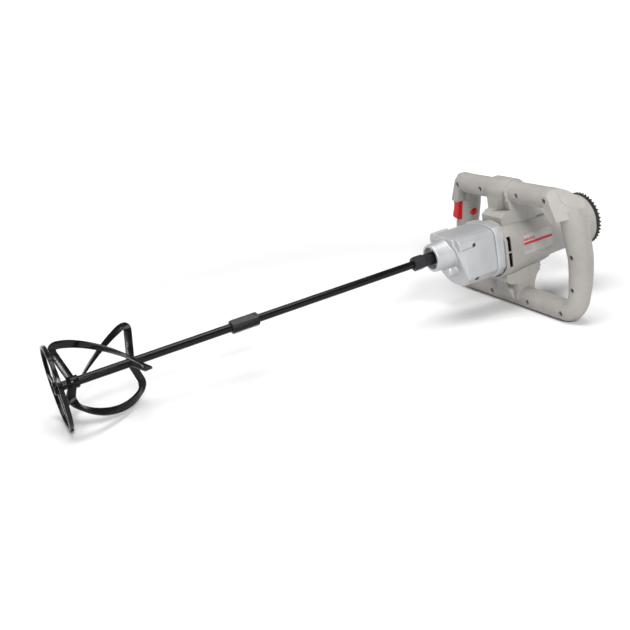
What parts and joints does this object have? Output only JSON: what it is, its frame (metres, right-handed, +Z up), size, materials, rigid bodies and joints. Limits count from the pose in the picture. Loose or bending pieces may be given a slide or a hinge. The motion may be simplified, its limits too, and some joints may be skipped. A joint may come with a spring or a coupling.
{
  "type": "drill paint mixer",
  "caption": "Handheld electric paint mixer: closed tubular handle frame around a barrel motor and gearbox, with a long shaft carrying a whisk of curved flat blades and an end ring.",
  "frame": {"origin": "centre of the bounding box on the floor; the machine lies on its lower beam and on the rim of the end ring", "axes": "+X from the motor towards the whisk along the floor, +Y towards the plain grip, +Z up; the spindle axis dips by five degrees towards the whisk"},
  "size_m": [0.9188, 0.332, 0.2165],
  "materials": {
    "grey_plastic": "fine grained, matt",
    "black_plastic": "satin",
    "red_plastic": "satin",
    "switch_plastic": "matt",
    "label_film": "smooth film",
    "cast_alloy": "die cast, lightly blasted",
    "black_steel": "gloss black",
    "dark_steel": "blackened",
    "plated_steel": "zinc plated",
    "gear_steel": "ground and oiled",
    "lamination_steel": "stacked sheet",
    "copper": "drawn copper",
    "coil_copper": "varnished wire",
    "brass": "pressed brass",
    "carbon": "pressed carbon",
    "seal_rubber": "matt"
  },
  "bodies": {
    "machine": {"handle_front_shell": "grey_plastic", "handle_rear_shell": "grey_plastic", "handle_screws": "plated_steel", "cable_gland": "seal_rubber", "switch_body": "switch_plastic", "motor_housing": "grey_plastic", "rear_cover": "black_plastic", "rear_cover_screws": "plated_steel", "rating_label": "label_film", "stator_core": "lamination_steel", "stator_coils": "coil_copper", "brush_holders": "brass", "brushes": "carbon", "gearbox_housing": "cast_alloy", "bearing_plate": "cast_alloy", "gearbox_screws": "plated_steel", "nose_seal": "seal_rubber", "spindle_bearings": "gear_steel", "layshaft_bearings": "gear_steel", "motor_bearings": "gear_steel"},
    "trigger": {"trigger": "red_plastic"},
    "lock_button": {"lock_button": "red_plastic"},
    "armature": {"armature_shaft": "gear_steel", "armature_core": "lamination_steel", "commutator": "copper", "cooling_fan": "black_plastic"},
    "layshaft": {"layshaft": "gear_steel", "layshaft_wheel": "gear_steel"},
    "output": {"spindle": "dark_steel", "spindle_wheel": "gear_steel", "chuck_nut": "dark_steel", "upper_shaft": "black_steel", "shaft_coupling": "dark_steel", "lower_shaft": "black_steel", "whisk_hub": "black_steel", "whisk_blades": "black_steel", "end_ring": "black_steel", "ring_spokes": "black_steel"}
  },
  "joints": [
    {"name": "spindle_spin", "type": "hinge", "parent": "machine", "child": "output", "pos_m": [-0.15155, 0, 0.11288], "axis": [0.9962, 0, -0.0873], "continuous": true},
    {"name": "layshaft_spin", "type": "hinge", "parent": "machine", "child": "layshaft", "pos_m": [-0.21441, 0.01863, 0.10572], "axis": [0.9962, 0, -0.0873], "continuous": true},
    {"name": "armature_spin", "type": "hinge", "parent": "machine", "child": "armature", "pos_m": [-0.30272, 0, 0.10616], "axis": [0.9962, 0, -0.0873], "continuous": true},
    {"name": "trigger_pull", "type": "slide", "parent": "machine", "child": "trigger", "axis": [-0.9997, 0, 0.025], "range_m": [0, 0.005], "stiffness_N_per_m": 500, "springref_m": -0.003},
    {"name": "lock_button_push", "type": "slide", "parent": "machine", "child": "lock_button", "axis": [0.0053, -0.977, 0.2132], "range_m": [0, 0.003], "stiffness_N_per_m": 400, "springref_m": -0.002}
  ],
  "couplings": [
    {"joint": "layshaft_spin", "follows": "spindle_spin", "ratio": -3.5},
    {"joint": "armature_spin", "follows": "spindle_spin", "ratio": 14}
  ]
}
